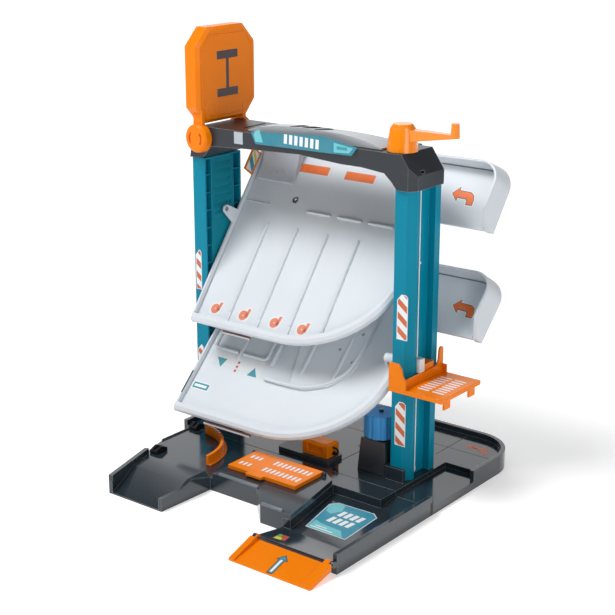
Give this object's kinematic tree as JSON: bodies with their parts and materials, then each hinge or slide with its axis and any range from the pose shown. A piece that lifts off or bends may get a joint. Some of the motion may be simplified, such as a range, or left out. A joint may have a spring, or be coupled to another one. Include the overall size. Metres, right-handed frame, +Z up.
{
  "type": "toy parking garage with lift",
  "caption": "Toy parking garage with tilting decks between columns, a hand-cranked cord lift, a folding landing pad, a drop-down ramp and a wash roller on a tray base.",
  "frame": {"origin": "on the floor, under the middle of the whole toy's bounding box", "axes": "+X to the right along the decks towards the lift, +Y to the back, +Z up along the columns"},
  "size_m": [0.431, 0.4745, 0.581],
  "materials": {
    "teal_plastic": "glossy moulded plastic",
    "orange_plastic": "glossy moulded plastic",
    "charcoal_plastic": "satin moulded plastic",
    "deck_grey_plastic": "satin pale grey moulded plastic",
    "grey_plastic": "satin mid grey moulded plastic",
    "black_plastic": "satin black moulded plastic",
    "blue_foam": "soft blue brush roller",
    "white_cord": "twisted white string",
    "white_plastic": "white moulded plastic",
    "steel": "bright steel pins and screws"
  },
  "bodies": {
    "garage_frame": {"rear_base": "charcoal_plastic", "front_base": "charcoal_plastic", "left_column": "teal_plastic", "left_column_panel": "teal_plastic", "right_column": "teal_plastic", "column_screw_1": "steel", "column_screw_2": "steel", "column_screw_3": "steel", "column_screw_4": "steel", "top_beam": "charcoal_plastic", "roof_cover": "grey_plastic", "sign_panel": "teal_plastic", "helipad_pin": "charcoal_plastic", "pulley_pin": "steel", "lift_cord": "white_cord", "upper_deck_pin_left": "steel", "upper_deck_pin_right": "steel", "lower_deck_pin_left": "steel", "lower_deck_pin_right": "steel", "front_ramp_pin_left": "steel", "front_ramp_pin_right": "steel", "grid_plate_pin": "steel", "curved_guard": "orange_plastic", "pump_plinth": "black_plastic", "pump_body": "orange_plastic", "pump_hose": "black_plastic", "pump_nozzle": "black_plastic", "wash_stand": "charcoal_plastic", "wash_spindle": "grey_plastic", "wash_nozzle": "grey_plastic", "tray_latch": "grey_plastic", "seam_latch": "black_plastic"},
    "upper_parking_deck": {"upper_deck": "deck_grey_plastic", "deck_ramp": "grey_plastic", "ramp_sign": "orange_plastic"},
    "lower_parking_deck": {"lower_deck": "deck_grey_plastic"},
    "lift": {"lift_platform": "orange_plastic", "lift_runner": "orange_plastic", "cord_clip": "white_plastic"},
    "winch": {"crank": "orange_plastic", "winch_drum": "grey_plastic"},
    "pulley": {"lower_pulley": "white_plastic"},
    "landing_pad": {"helipad": "orange_plastic", "helipad_letter": "black_plastic"},
    "entry_ramp": {"front_ramp": "orange_plastic"},
    "lever_plate": {"grid_plate": "orange_plastic"},
    "brush_roller": {"wash_roller": "blue_foam"}
  },
  "joints": [
    {"name": "lower_deck_fold", "type": "hinge", "parent": "garage_frame", "child": "lower_parking_deck", "pos_m": [0, 0.053, 0.18], "axis": [-1, 0, 0], "range_deg": [0, 45]},
    {"name": "upper_deck_fold", "type": "hinge", "parent": "garage_frame", "child": "upper_parking_deck", "pos_m": [0, 0.081, 0.328], "axis": [-1, 0, 0], "range_deg": [0, 53.3]},
    {"name": "crank_turn", "type": "hinge", "parent": "garage_frame", "child": "winch", "pos_m": [0.123, 0.063, 0.45], "axis": [0, 0, 1], "range_deg": [-625, 687]},
    {"name": "lift_slide", "type": "slide", "parent": "garage_frame", "child": "lift", "axis": [0, 0, 1], "range_m": [-0.131, 0.144]},
    {"name": "lower_pulley_spin", "type": "hinge", "parent": "garage_frame", "child": "pulley", "pos_m": [0.143, 0.0645, 0.0305], "axis": [0, -1, 0], "range_deg": [-938, 1031]},
    {"name": "helipad_fold", "type": "hinge", "parent": "garage_frame", "child": "landing_pad", "pos_m": [-0.192, 0.0885, 0.434], "axis": [0, -1, 0], "range_deg": [0, 90]},
    {"name": "front_ramp_fold", "type": "hinge", "parent": "garage_frame", "child": "entry_ramp", "pos_m": [0.151, -0.1915, 0.0145], "axis": [-1, 0, 0], "range_deg": [0, 90]},
    {"name": "grid_plate_lift", "type": "hinge", "parent": "garage_frame", "child": "lever_plate", "pos_m": [0.0065, -0.019, 0.0281], "axis": [-1, 0, 0], "range_deg": [0, 35]},
    {"name": "wash_roller_spin", "type": "hinge", "parent": "garage_frame", "child": "brush_roller", "pos_m": [0.0978, 0.063, 0.082], "axis": [0, 0, 1], "continuous": true}
  ],
  "couplings": [
    {"joint": "upper_deck_fold", "follows": "lower_deck_fold", "ratio": 1.1844},
    {"joint": "lift_slide", "follows": "crank_turn", "m_per_rad": 0.012},
    {"joint": "lower_pulley_spin", "follows": "crank_turn", "ratio": 1.5}
  ]
}
